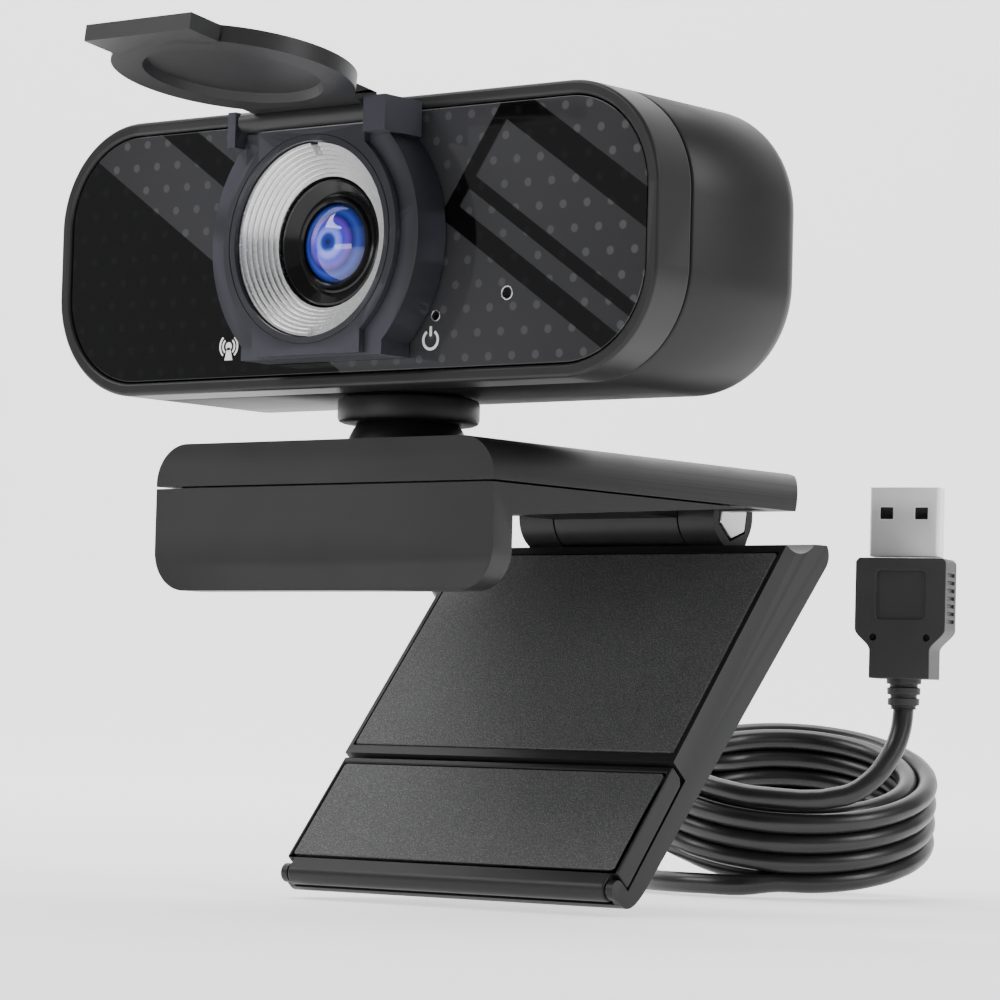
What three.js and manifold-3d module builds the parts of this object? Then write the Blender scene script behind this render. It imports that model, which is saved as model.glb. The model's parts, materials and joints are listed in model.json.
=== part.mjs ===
// Webcam with a privacy cover, on a folding screen clip, with its coiled USB lead.
// Millimetres, +Z up. The lens looks along -Y and the design is drawn from the centre of the
// head's front face; the whole group is then moved so that the origin is on the clip's underside.
import * as THREE from 'three';
import { mergeVertices } from 'three/addons/utils/BufferGeometryUtils.js';
import Module from 'manifold-3d';

const wasm = await Module();
wasm.setup();

// ---- driving dimensions ----
const GAP = 0.3;
const HEAD = { wide: 115, tall: 42.3, deep: 37, corner: 16, bezelDeep: 8.2, wall: 2, roll: 5 };
const FRAME = { halfWide: 19.8, halfFlat: 13.5, halfTall: 17.3, jog: 15.2, front: -6.3 };
const PLATE = { halfWide: 16.6, halfFlat: 10.3, halfTall: 17.0, jog: 13.6, front: -7.5 };
const LENS_HOLE = 14.4;
const COVER = { y: -7, z: 18, openDegrees: 98, thick: 2.4, knuckle: 1.5, pin: 0.7 };
const NECK = { y: 16.7, z: -31, ball: 9.5, discRadius: 10.7, discTop: -21.5, discBottom: -25.4 };
const CLIP = { halfWide: 32.5, front: -3.3, top: -29.1, seam: -35.5, hookBottom: -51.2, hookBack: 1.2,
  rear: 77.8, corner: 6, wedgeEnd: 60, underFront: -40.3 };
const HINGE = { y: 74.6, z: -35.8, radius: 5.4, middle: 12.2, end: 19.4, pin: 1.6 };
const LEG = { top: [71.3, -40.4], degrees: 49.8, halfWide: 32.2, upper: 45.2, long: 69.3,
  thickTop: 10.5, thickLow: 7.5, flapFront: -0.4, flapBack: -3.9 };
const FOOT_PIN = { v: -2.15, u: 68.2, radius: 0.7, lug: 1.5, lugInner: 31 };
const CORD = { radius: 1.75 };
const CORD_EXIT = { x: -32.2, y: 60, z: -32.6 };
const COIL = { centre: [-8, 133, -82.4], mean: 21.75, halfWide: 3.5, halfTall: 7, tiltDegrees: 19 };
const PLUG = { x: 18, y: 128, relief: -65.4, narrow: -60.3, wide: -55.6, face: -40, tip: -28, turned: 18 };
// The clip's underside is a wedge; the origin is the place on it that rests on the screen's top.
const wedgeRise = (CLIP.seam - GAP - CLIP.underFront) / (CLIP.wedgeEnd - CLIP.hookBack);
const ORIGIN = { y: 26, z: CLIP.underFront + (26 - CLIP.hookBack) * wedgeRise };

const DEG = Math.PI / 180;
const part = new THREE.Group();

// ---- finishes ----
const FINISH = {
  casing: { color: 0x2b2c2f, roughness: 0.55 },
  gloss: { color: 0x0b0b0d, roughness: 0.1 },
  frame: { color: 0x3b3c42, roughness: 0.45 },
  silver: { color: 0xd5d6d8, roughness: 0.25, metalness: 0.9 },
  glass: { color: 0x1a2f7a, roughness: 0.05 },
  pad: { color: 0x45464a, roughness: 0.9 },
  steel: { color: 0xb4b6b8, roughness: 0.3, metalness: 1 },
  board: { color: 0x1d5a36, roughness: 0.6 },
  cord: { color: 0x141415, roughness: 0.5 },
};

function addMesh(name, geometry, finish, parent = part) {
  const clean = geometry.clone();
  clean.computeVertexNormals();
  const mesh = new THREE.Mesh(clean, new THREE.MeshStandardMaterial(FINISH[finish]));
  mesh.name = name;
  parent.add(mesh);
}

// ---- shape helpers ----
function roundedRect(wide, tall, radius, cx = 0, cy = 0) {
  const x = wide / 2;
  const y = tall / 2;
  const shape = new THREE.Shape();
  shape.moveTo(cx - x + radius, cy - y);
  shape.lineTo(cx + x - radius, cy - y);
  shape.absarc(cx + x - radius, cy - y + radius, radius, -Math.PI / 2, 0);
  shape.lineTo(cx + x, cy + y - radius);
  shape.absarc(cx + x - radius, cy + y - radius, radius, 0, Math.PI / 2);
  shape.lineTo(cx - x + radius, cy + y);
  shape.absarc(cx - x + radius, cy + y - radius, radius, Math.PI / 2, Math.PI);
  shape.lineTo(cx - x, cy - y + radius);
  shape.absarc(cx - x + radius, cy - y + radius, radius, Math.PI, 1.5 * Math.PI);
  return shape;
}

// An outline with flat top and bottom, short upright corners and two bowed sides.
function bowedOutline({ halfWide, halfFlat, halfTall, jog }) {
  const bow = halfWide - halfFlat;
  const radius = (jog * jog + bow * bow) / (2 * bow);
  const spread = Math.asin(jog / radius);
  const shape = new THREE.Shape();
  shape.moveTo(-halfFlat, -halfTall);
  shape.lineTo(halfFlat, -halfTall);
  shape.absarc(halfWide - radius, 0, radius, -spread, spread);
  shape.lineTo(halfFlat, halfTall);
  shape.lineTo(-halfFlat, halfTall);
  shape.absarc(radius - halfWide, 0, radius, Math.PI - spread, Math.PI + spread);
  return shape;
}

function polygon(points) {
  return new THREE.Shape(points.map(([x, y]) => new THREE.Vector2(x, y)));
}

function circleHole(shape, x, y, radius) {
  const hole = new THREE.Path();
  hole.absarc(x, y, radius, 0, 2 * Math.PI, true);
  shape.holes.push(hole);
  return shape;
}

const FRONT = new THREE.Matrix4().makeBasis(
  new THREE.Vector3(1, 0, 0), new THREE.Vector3(0, 0, 1), new THREE.Vector3(0, -1, 0));
const SIDE = new THREE.Matrix4().makeBasis(
  new THREE.Vector3(0, 1, 0), new THREE.Vector3(0, 0, 1), new THREE.Vector3(1, 0, 0));

// An outline drawn in X and Z, from y0 back to y1.
function frontPrism(shape, y0, y1, curveSegments = 8) {
  const solid = new THREE.ExtrudeGeometry(shape, { depth: y1 - y0, bevelEnabled: false, curveSegments });
  return solid.applyMatrix4(FRONT).translate(0, y1, 0);
}

// An outline drawn in Y and Z, from x0 across to x1.
function sidePrism(shape, x0, x1, curveSegments = 8) {
  const solid = new THREE.ExtrudeGeometry(shape, { depth: x1 - x0, bevelEnabled: false, curveSegments });
  return solid.applyMatrix4(SIDE).translate(x0, 0, 0);
}

function box([x0, y0, z0], [x1, y1, z1]) {
  const solid = new THREE.BoxGeometry(x1 - x0, y1 - y0, z1 - z0);
  return solid.translate((x0 + x1) / 2, (y0 + y1) / 2, (z0 + z1) / 2);
}

// Cylinders along X and Y, and turned profiles of [radius, height] about Y or Z.
function rodX(radius, x0, x1, y, z, segments = 24) {
  const solid = new THREE.CylinderGeometry(radius, radius, x1 - x0, segments);
  return solid.rotateZ(-Math.PI / 2).translate((x0 + x1) / 2, y, z);
}

function rodZ(radius, z0, z1, x, y, segments = 24) {
  const solid = new THREE.CylinderGeometry(radius, radius, z1 - z0, segments);
  return solid.rotateX(Math.PI / 2).translate(x, y, (z0 + z1) / 2);
}

// Turns a profile so that its faces point out, whichever way round it was drawn.
function lathe(profile, segments) {
  const points = profile.map(([r, h]) => new THREE.Vector2(r, h));
  if (THREE.ShapeUtils.area(points) < 0) points.reverse();
  return new THREE.LatheGeometry(points, segments);
}

function turnedY(profile, x, z, segments = 36) {
  return lathe(profile, segments).translate(x, 0, z);
}

function turnedZ(profile, x, y, segments = 36) {
  return lathe(profile, segments).rotateX(Math.PI / 2).translate(x, y, 0);
}

// ---- booleans ----
function toManifold(geometry) {
  const source = geometry.clone();
  source.deleteAttribute('normal');
  source.deleteAttribute('uv');
  const merged = mergeVertices(source, 1e-4);
  const mesh = new wasm.Mesh({
    numProp: 3,
    vertProperties: new Float32Array(merged.attributes.position.array),
    triVerts: new Uint32Array(merged.index.array),
  });
  return new wasm.Manifold(mesh);
}

function fromManifold(manifold) {
  const mesh = manifold.getMesh();
  const geometry = new THREE.BufferGeometry();
  geometry.setAttribute('position', new THREE.BufferAttribute(new Float32Array(mesh.vertProperties), 3));
  geometry.setIndex(new THREE.BufferAttribute(new Uint32Array(mesh.triVerts), 1));
  return geometry;
}

function combine(first, operation, others) {
  let result = toManifold(first);
  for (const other of others) result = result[operation](toManifold(other));
  return fromManifold(result);
}

const cut = (base, ...tools) => combine(base, 'subtract', tools);
const join = (base, ...pieces) => combine(base, 'add', pieces);
const common = (base, ...pieces) => combine(base, 'intersect', pieces);

// ---- head ----
function frontBezel() {
  const shape = roundedRect(HEAD.wide, HEAD.tall, HEAD.corner);
  shape.holes.push(roundedRect(HEAD.wide - 4, HEAD.tall - 4, HEAD.corner - 2));
  return frontPrism(shape, 0, HEAD.bezelDeep, 8);
}

const LED_HOLE = [18.0, -11.3];
const MIC_HOLE = [31, -8.6];

function frontPanel() {
  const shape = roundedRect(HEAD.wide - 4.6, HEAD.tall - 4.6, HEAD.corner - 2.3);
  circleHole(shape, 0, 0, LENS_HOLE);
  circleHole(shape, ...LED_HOLE, 0.7);
  circleHole(shape, ...MIC_HOLE, 0.9);
  return frontPrism(shape, 0.4, 2.4, 7);
}

// A block with all its edges rolled over, from which the front is cut away.
function rolledBlock(inset, roll, back) {
  const wide = HEAD.wide - 2 * inset;
  const tall = HEAD.tall - 2 * inset;
  const shape = roundedRect(wide - 2 * roll, tall - 2 * roll, Math.max(HEAD.corner - inset - roll, 1));
  const solid = new THREE.ExtrudeGeometry(shape, {
    depth: 2 * HEAD.deep - 2 * roll, bevelEnabled: true, bevelSize: roll, bevelThickness: roll,
    bevelSegments: 4, curveSegments: 6 });
  return solid.applyMatrix4(FRONT).translate(0, back - roll, 0);
}

function rearShell() {
  const { roll } = HEAD;
  const start = HEAD.bezelDeep + GAP;
  const everything = [[-80, start, -40], [80, 60, 40]];
  const outer = common(rolledBlock(0, roll, HEAD.deep), box(...everything));
  return cut(outer, rolledBlock(HEAD.wall, roll - HEAD.wall, HEAD.deep - HEAD.wall));
}

function lensFrame() {
  const pinY = COVER.y;
  const base = frontPrism(circleHole(bowedOutline(FRAME), 0, 0, LENS_HOLE), FRAME.front, 0, 12);
  const lug = box([11.3, pinY - 2.2, 14.7], [15.4, -0.8, COVER.z + 1.9]);
  const ear = box([-15.4, pinY - 1.6, 14.2], [-13.9, -0.8, COVER.z + 1.5]);
  const pinHole = rodX(COVER.pin + GAP, -14.9, 14.9, pinY, COVER.z, 16);
  return cut(join(base, lug, ear), pinHole, knuckleRoom());
}

// The groove in which the cover's rolled edge turns.
function knuckleRoom() {
  return rodX(COVER.knuckle + 0.35, -13.8, 11.2, COVER.y, COVER.z, 24);
}

function lensFramePlate() {
  const shape = circleHole(bowedOutline(PLATE), 0, 0, LENS_HOLE);
  return cut(frontPrism(shape, PLATE.front, FRAME.front - GAP, 12), knuckleRoom());
}

// The bright funnel round the lens: steps that lead in from its rim to the barrel.
function lensRing() {
  const rim = { radius: 14.1, y: -6.6 };
  const throat = { radius: 9.6, y: -2.5 };
  const steps = 6;
  const profile = [];
  for (let i = 0; i < steps; i += 1) {
    const t0 = i / steps;
    const t1 = (i + 1) / steps;
    const y = rim.y + (throat.y - rim.y) * t0;
    profile.push([rim.radius + (throat.radius - rim.radius) * t0, y]);
    profile.push([rim.radius + (throat.radius - rim.radius) * t1, y + 0.1]);
  }
  profile.push([throat.radius, -1.6], [rim.radius, -1.6], profile[0]);
  return turnedY(profile, 0, 0, 32);
}

function lensBarrel() {
  const profile = [[9.3, -2.3], [6.9, -1.3], [6.3, -1.9], [5.6, -1.9], [5.6, 8], [7.5, 8],
    [7.5, 0], [9.3, 0], [9.3, -2.3]];
  return turnedY(profile, 0, 0, 28);
}

function lensGlass() {
  const radius = 5.3;
  const crown = 1.6;
  const sphere = (radius * radius + crown * crown) / (2 * crown);
  const profile = [[0, 1.2], [radius, 1.2]];
  for (let i = 4; i >= 1; i -= 1) {
    const r = radius * i / 4;
    profile.push([r, -1.2 - (Math.sqrt(sphere * sphere - r * r) - (sphere - crown))]);
  }
  profile.push([0, -1.2 - crown]);
  return turnedY(profile, 0, 0, 24);
}

const BOARD = { halfWide: 47, halfTall: 14.5, front: 13, back: 14.6, screwX: 43, screwZ: 11 };
const CORNERS = [[-1, -1], [1, -1], [-1, 1], [1, 1]];

function mainBoard() {
  const shape = roundedRect(2 * BOARD.halfWide, 2 * BOARD.halfTall, 2);
  for (const [sx, sz] of CORNERS) circleHole(shape, sx * BOARD.screwX, sz * BOARD.screwZ, 1.4);
  return frontPrism(shape, BOARD.front, BOARD.back);
}

function boardScrew(sx, sz) {
  const head = BOARD.back + GAP;
  const profile = [[0, 8.9], [1, 8.9], [1, head], [2, head], [2, head + 1.2], [0, head + 1.2]];
  return turnedY(profile, sx * BOARD.screwX, sz * BOARD.screwZ, 16);
}

function buildHead(head) {
  addMesh('front_bezel', frontBezel(), 'casing', head);
  addMesh('front_panel', frontPanel(), 'gloss', head);
  addMesh('rear_shell', rearShell(), 'casing', head);
  addMesh('lens_frame', lensFrame(), 'frame', head);
  addMesh('lens_frame_plate', lensFramePlate(), 'frame', head);
  addMesh('lens_ring', lensRing(), 'silver', head);
  addMesh('lens_barrel', lensBarrel(), 'gloss', head);
  addMesh('lens_glass', lensGlass(), 'glass', head);
  const holder = circleHole(roundedRect(18, 18, 1.5), 0, 0, 5.6);
  addMesh('lens_holder', frontPrism(holder, 8.3, BOARD.front - GAP), 'casing', head);
  addMesh('image_sensor', box([-3.2, 11.6, -2.6], [3.2, BOARD.front - GAP, 2.6]), 'gloss', head);
  addMesh('main_board', mainBoard(), 'board', head);
  const [ledX, ledZ] = LED_HOLE;
  const led = [[0, 2.8], [1.4, 3], [1.4, 12.7], [0, 12.7]];
  addMesh('status_led', turnedY(led, ledX, ledZ, 16), 'glass', head);
  const [micX, micZ] = MIC_HOLE;
  addMesh('microphone', turnedY([[0, 2.8], [2, 2.8], [2, 12.7], [0, 12.7]], micX, micZ, 16), 'steel', head);
  CORNERS.forEach(([sx, sz], i) => addMesh(`board_screw_${i + 1}`, boardScrew(sx, sz), 'steel', head));
  const disc = [[NECK.discRadius - 0.8, NECK.discTop], [NECK.discRadius, NECK.discTop - 0.8],
    [NECK.discRadius, NECK.discBottom + 0.8], [NECK.discRadius - 0.8, NECK.discBottom]];
  const recess = NECK.ball + GAP;
  for (let i = 0; i <= 3; i += 1) {
    const z = NECK.discBottom + (NECK.discTop - NECK.discBottom) * i / 3;
    disc.push([Math.sqrt(recess * recess - (z - NECK.z) ** 2), z]);
  }
  disc.push(disc[0]);
  addMesh('swivel_disc', turnedZ(disc, 0, NECK.y, 32), 'casing', head);
}

// ---- swivel: the ball that pans in the arm and on which the disc tilts ----
function neckBall() {
  const profile = [[0, -33.4], [11.4, -33.4], [11.4, -31.6], [NECK.ball, -31.6]];
  for (let i = 0; i <= 6; i += 1) {
    const angle = i * 15 * DEG;
    profile.push([Math.max(NECK.ball * Math.cos(angle), 0), NECK.z + NECK.ball * Math.sin(angle)]);
  }
  profile[profile.length - 1][0] = 0;
  return turnedZ(profile, 0, NECK.y, 28);
}

// ---- privacy cover, drawn shut and then opened about its pin ----
function privacyCover() {
  const { y, z, thick, knuckle, pin } = COVER;
  const front = y - 3.2;
  const disc = new THREE.Shape();
  disc.absarc(0, 0, 17.6, 0, 2 * Math.PI);
  const tab = polygon([[-10, -12], [-10, -20.5], [10, -20.5], [10, -12]]);
  const neck = polygon([[-10.6, 12], [10.6, 12], [10.6, z + 1.2], [-10.6, z + 1.2]]);
  const plate = join(frontPrism(disc, front, front + thick, 20), frontPrism(tab, front, front + thick),
    frontPrism(neck, front, front + thick));
  const dish = turnedY([[0, front + 1.1], [12.5, front + 1.1], [13.5, front + thick + 1],
    [0, front + thick + 1]], 0, 0, 32);
  const roll = rodX(knuckle, -13.5, 10.9, y, z, 16);
  const strap = box([-10.6, front, z - 0.4], [10.6, y, z + 1.2]);
  return cut(join(cut(plate, dish), roll, strap), rodX(pin + GAP, -14, 12, y, z, 16));
}

function buildCover(head) {
  const hinge = new THREE.Group();
  hinge.position.set(0, COVER.y, COVER.z);
  hinge.rotation.x = -COVER.openDegrees * DEG;
  head.add(hinge);
  addMesh('privacy_cover', privacyCover().translate(0, -COVER.y, -COVER.z), 'frame', hinge);
  addMesh('cover_pin', rodX(COVER.pin, -14.6, 14.6, 0, 0, 12), 'steel', hinge);
}

// ---- clip ----
// The clip's front outline between two heights, with its corners rounded at one or both ends.
function clipOutline(bottom, top) {
  const tall = CLIP.top - CLIP.hookBottom;
  const middle = (CLIP.top + CLIP.hookBottom) / 2;
  const whole = roundedRect(2 * CLIP.halfWide, tall, CLIP.corner, 0, middle);
  const slab = box([-40, CLIP.front, bottom], [40, CLIP.rear, top]);
  return common(frontPrism(whole, CLIP.front, CLIP.rear, 10), slab);
}

function exitHole(radius) {
  return rodX(radius, -40, -28, CORD_EXIT.y, CORD_EXIT.z, 20);
}

function armTopCover() {
  const outer = clipOutline(CLIP.seam, CLIP.top + 1);
  const inner = box([-29.5, CLIP.front + 2, CLIP.seam - 1], [29.5, 69.5, CLIP.top - 2]);
  const scoop = rodX(8.4, -40, 40, 81, -37.3, 40);
  const barrelRoom = rodX(HINGE.radius + 0.9, -HINGE.end - 0.8, HINGE.end + 0.8, HINGE.y, HINGE.z, 32);
  const tongueRoom = box([-HINGE.end - 0.8, 60, CLIP.seam - 1], [HINGE.end + 0.8, 80, -31.6]);
  const neckHole = rodZ(NECK.ball + 0.4, CLIP.top - 4, CLIP.top + 1, 0, NECK.y, 40);
  return cut(outer, inner, scoop, barrelRoom, tongueRoom, neckHole, exitHole(3.3));
}

const SCREWS_UNDER = [[-22, 12], [22, 12]];

function armLowerShell() {
  const top = CLIP.seam - GAP;
  const profile = polygon([[CLIP.front, top], [CLIP.front, -60], [CLIP.hookBack, -60],
    [CLIP.hookBack, CLIP.underFront], [CLIP.wedgeEnd, top]]);
  const body = common(sidePrism(profile, -CLIP.halfWide, CLIP.halfWide), clipOutline(-60, top));
  const tongue = box([-HINGE.middle, 44, -36.4], [HINGE.middle, HINGE.y, -33]);
  const knuckle = rodX(HINGE.radius, -HINGE.middle, HINGE.middle, HINGE.y, HINGE.z, 32);
  const holes = SCREWS_UNDER.flatMap(([x, y]) => [
    rodZ(1.4, -42, -30, x, y, 16), rodZ(2.6, -42, -38, x, y, 20)]);
  return cut(join(body, tongue, knuckle), rodX(HINGE.pin + GAP, -20, 20, HINGE.y, HINGE.z, 20), ...holes);
}

function underScrew(x, y) {
  const profile = [[0, -39.3], [2.1, -39.3], [2.1, -38.3], [1, -38.3], [1, -31.8], [0, -31.8]];
  return turnedZ(profile, x, y, 16);
}

function buildClip() {
  addMesh('arm_top_cover', armTopCover(), 'casing');
  addMesh('arm_lower_shell', armLowerShell(), 'casing');
  const pad = roundedRect(54, 7.4, 1.6, 0, -46.4);
  addMesh('hook_pad', frontPrism(pad, CLIP.hookBack + GAP, CLIP.hookBack + 1.5), 'pad');
  SCREWS_UNDER.forEach(([x, y], i) => addMesh(`clip_screw_${i + 1}`, underScrew(x, y), 'steel'));
}

// ---- leg, drawn with v out of its front face and u down its length ----
function legSpace() {
  const c = Math.cos(LEG.degrees * DEG);
  const s = Math.sin(LEG.degrees * DEG);
  const leg = new THREE.Group();
  const basis = new THREE.Matrix4().makeBasis(
    new THREE.Vector3(1, 0, 0), new THREE.Vector3(0, -s, c), new THREE.Vector3(0, -c, -s));
  leg.quaternion.setFromRotationMatrix(basis);
  leg.position.set(0, ...LEG.top);
  part.add(leg);
  const toLeg = ([y, z]) => {
    const dy = y - LEG.top[0];
    const dz = z - LEG.top[1];
    return [-s * dy + c * dz, -c * dy - s * dz];
  };
  return { leg, toLeg };
}

const { leg: legGroup, toLeg } = legSpace();
const [axisV, axisU] = toLeg([HINGE.y, HINGE.z]);

function legBody() {
  const backU = 62;
  const profile = new THREE.Shape();
  profile.moveTo(0, 0);
  profile.lineTo(0, LEG.upper);
  profile.lineTo(LEG.flapBack - GAP, LEG.upper);
  profile.lineTo(LEG.flapBack - GAP, LEG.long);
  profile.quadraticCurveTo(-LEG.thickLow, LEG.long, -LEG.thickLow, backU);
  profile.lineTo(-LEG.thickTop, -4.4);
  profile.quadraticCurveTo(-LEG.thickTop, -6.6, -8.4, -7.2);
  profile.lineTo(0, 0);
  const body = sidePrism(profile, -LEG.halfWide, LEG.halfWide, 6);
  const padPocket = box([-31.5, -1.1, 2], [31.5, 1, 43.6]);
  const barrelRoom = rodX(HINGE.radius + 0.8, -40, 40, axisV, axisU, 32);
  const backPocket = box([-26, -12, 8], [26, -5.4, 56]);
  let solid = cut(body, padPocket, barrelRoom, backPocket);
  for (const side of [-1, 1]) {
    const x0 = Math.min(side * FOOT_PIN.lugInner, side * LEG.halfWide);
    const x1 = Math.max(side * FOOT_PIN.lugInner, side * LEG.halfWide);
    const lugWeb = box([x0, LEG.flapBack - 2, FOOT_PIN.u - FOOT_PIN.lug], [x1, FOOT_PIN.v, LEG.long]);
    solid = join(solid, rodX(FOOT_PIN.lug, x0, x1, FOOT_PIN.v, FOOT_PIN.u, 20), lugWeb);
  }
  for (const side of [-1, 1]) {
    const inner = side * (HINGE.middle + GAP);
    const outer = side * HINGE.end;
    const x = [Math.min(inner, outer), Math.max(inner, outer)];
    const webOutline = polygon([
      [axisV - 5.2, axisU - 1], [axisV + 1.5, axisU], [-1.6, 1.2], [-2.5, 3], [-7, 3]]);
    const web = sidePrism(webOutline, ...x);
    solid = join(solid, rodX(HINGE.radius, ...x, axisV, axisU, 32), web);
  }
  const nutPocket = rodX(4.3, HINGE.end - 2.8, HINGE.end + 1, axisV, axisU, 6);
  return cut(solid, rodX(HINGE.pin + GAP, -20, 20, axisV, axisU, 20), nutPocket,
    rodX(FOOT_PIN.radius + GAP, -31.9, 31.9, FOOT_PIN.v, FOOT_PIN.u, 16));
}

function footFlap() {
  const front = LEG.flapFront;
  const back = LEG.flapBack;
  const radius = (front - back) / 2;
  const profile = new THREE.Shape();
  profile.moveTo(front, LEG.upper + 0.5);
  profile.lineTo(front, FOOT_PIN.u);
  profile.absarc((front + back) / 2, FOOT_PIN.u, radius, 0, Math.PI);
  profile.lineTo(back, LEG.upper + 1.4);
  profile.lineTo(back + 0.9, LEG.upper + 0.5);
  const body = sidePrism(profile, -LEG.halfWide, LEG.halfWide, 10);
  const padPocket = box([-31.5, front - 1, LEG.upper + 1.7], [31.5, 1, 66.1]);
  const notchTop = FOOT_PIN.u - FOOT_PIN.lug - GAP;
  const notches = [-1, 1].map((side) => {
    const inner = side * (FOOT_PIN.lugInner - GAP);
    return box([Math.min(inner, side * 33), -5, notchTop], [Math.max(inner, side * 33), 1, 71]);
  });
  const pinHole = rodX(FOOT_PIN.radius + GAP, -33, 33, FOOT_PIN.v, FOOT_PIN.u, 16);
  return cut(body, padPocket, ...notches, pinHole);
}

function gripPad(vFront, vBack, u0, u1) {
  return box([-31.2, vBack, u0], [31.2, vFront, u1]);
}

function buildLeg() {
  addMesh('leg_body', legBody(), 'casing', legGroup);
  addMesh('leg_pad', gripPad(0.1, -0.8, 2.3, 43.3), 'pad', legGroup);
  addMesh('hinge_bolt', rodX(HINGE.pin, -HINGE.end, HINGE.end - 3.1, axisV, axisU, 20), 'steel', legGroup);
  addMesh('hinge_nut', rodX(3.9, HINGE.end - 2.5, HINGE.end + 0.2, axisV, axisU, 6), 'steel', legGroup);
  addMesh('foot_flap', footFlap(), 'casing', legGroup);
  const padTop = LEG.upper + 2;
  addMesh('foot_pad', gripPad(LEG.flapFront + 0.1, LEG.flapFront - 0.7, padTop, 65.8), 'pad', legGroup);
  addMesh('foot_pin', rodX(FOOT_PIN.radius, -31.6, 31.6, FOOT_PIN.v, FOOT_PIN.u, 12), 'steel', legGroup);
}

// ---- lead: a boot on the arm's side, a run behind the leg, a coil, and the plug stood up ----
// The runs are lists of points chosen by hand; the coil is one ring of the turns' outer shape.
const RUN_TO_COIL = [[-42.7, 60, -32.6], [-44.4, 60.2, -32.7], [-46.8, 61.7, -33.4],
  [-48.5, 64.6, -34.6], [-49, 69, -36.8],
  [-48.6, 76, -40.6], [-47.6, 84, -46.5], [-47, 91, -56], [-47.8, 94.5, -67], [-47.8, 100, -77],
  [-47.8, 106.5, -86.5], [-47.8, 114, -93.2], [-47.4, 121.5, -95.6], [-46, 128, -95.6],
  [-42.6, 132.4, -95.6], [-38, 132.6, -95.6], [-35, 129.4, -95.6]];
const RUN_TO_PLUG = [[8.7, 116.5, -80.6], [12.6, 118.6, -80.2], [15.6, 121.6, -77.8],
  [17.2, 124.8, -74], [17.9, 127, -70], [18, 128, -65.8]];

function tube(points, radius, sides, steps) {
  const section = new THREE.Shape();
  for (let i = 0; i < sides; i += 1) {
    const angle = 2 * Math.PI * i / sides;
    const place = [radius * Math.cos(angle), radius * Math.sin(angle)];
    if (i === 0) section.moveTo(...place);
    else section.lineTo(...place);
  }
  const curve = new THREE.CatmullRomCurve3(points.map((p) => new THREE.Vector3(...p)), false, 'centripetal');
  return new THREE.ExtrudeGeometry(section, { steps, extrudePath: curve, curveSegments: 1 });
}

// Turns a shape drawn about the coil's own axis to where the coil lies, raised at the back.
function ontoCoil(geometry) {
  const hingeLine = new THREE.Vector3(0.786, 0.618, 0).normalize();
  const tilt = new THREE.Matrix4().makeRotationAxis(hingeLine, COIL.tiltDegrees * DEG);
  return geometry.applyMatrix4(tilt).translate(...COIL.centre);
}

function coilRing() {
  const inner = COIL.mean - COIL.halfWide;
  const outer = COIL.mean + COIL.halfWide;
  const h = COIL.halfTall;
  const round = 1.4;
  const profile = [[inner, -h + round], [inner + round, -h], [outer - round, -h], [outer, -h + round],
    [outer, h - round], [outer - round, h], [inner + round, h], [inner, h - round], [inner, -h + round]];
  return ontoCoil(turnedZ(profile, 0, 0, 28));
}

// A band round the turns and the strand that leaves over them, where the leg hides it.
function coilTie() {
  const wide = 2 * COIL.halfWide + 2 * GAP;
  const tall = 2 * COIL.halfTall + 2 * CORD.radius + 3 * GAP;
  const middle = CORD.radius + GAP / 2;
  const band = roundedRect(wide + 1.4, tall + 1.4, 1.6, COIL.mean, middle);
  band.holes.push(roundedRect(wide, tall, 1.2, COIL.mean, middle));
  return ontoCoil(frontPrism(band, -1.6, 1.6, 4).rotateZ(222 * DEG));
}

// Turns a shape drawn about the upright axis to where the plug stands.
function ontoPlug(geometry) {
  return geometry.rotateZ(PLUG.turned * DEG).translate(PLUG.x, PLUG.y, 0);
}

function plugOvermold() {
  const deep = 3.8;
  const shape = polygon([[-5.2, PLUG.narrow], [5.2, PLUG.narrow], [5.2, PLUG.wide], [7.8, PLUG.wide + 3],
    [7.8, PLUG.face], [-7.8, PLUG.face], [-7.8, PLUG.wide + 3], [-5.2, PLUG.wide]]);
  return ontoPlug(frontPrism(shape, -deep, deep));
}

function plugShell() {
  const bottom = PLUG.face + GAP;
  const outer = box([-6, -2.25, bottom], [6, 2.25, PLUG.tip]);
  const inner = box([-5.7, -1.95, bottom + 0.4], [5.7, 1.95, PLUG.tip + 1]);
  const windows = [-3, 3].map((x) => box([x - 1.1, -3, -33.4], [x + 1.1, 3, -31.4]));
  return ontoPlug(cut(outer, inner, ...windows));
}

function buildLead() {
  const { x, y, z } = CORD_EXIT;
  const boot = lathe([[0, 0], [2.9, 0], [2.9, 1.2], [2.2, 10.1], [0, 10.1]], 20);
  addMesh('strain_relief', boot.rotateZ(Math.PI / 2).translate(x, y, z), 'cord');
  addMesh('lead_run', tube(RUN_TO_COIL, CORD.radius, 8, 24), 'cord');
  addMesh('lead_coil', coilRing(), 'cord');
  addMesh('coil_tie', coilTie(), 'cord');
  addMesh('lead_rise', tube(RUN_TO_PLUG, CORD.radius, 8, 8), 'cord');
  const relief = [[0, PLUG.relief], [2.2, PLUG.relief], [2.8, PLUG.narrow - GAP], [0, PLUG.narrow - GAP]];
  addMesh('plug_strain_relief', turnedZ(relief, PLUG.x, PLUG.y, 20), 'cord');
  addMesh('plug_overmold', plugOvermold(), 'cord');
  addMesh('plug_shell', plugShell(), 'steel');
  const tongueBack = PLUG.face + 1;
  const tongue = box([-5.3, -1.6, tongueBack], [5.3, 0.2, PLUG.tip - 0.6]);
  addMesh('plug_tongue', ontoPlug(tongue), 'gloss');
}

const headGroup = new THREE.Group();
part.add(headGroup);
buildHead(headGroup);
buildCover(headGroup);
addMesh('neck_ball', neckBall(), 'casing');
buildClip();
buildLeg();
buildLead();
part.position.set(0, -ORIGIN.y, -ORIGIN.z);

export default part;
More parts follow.
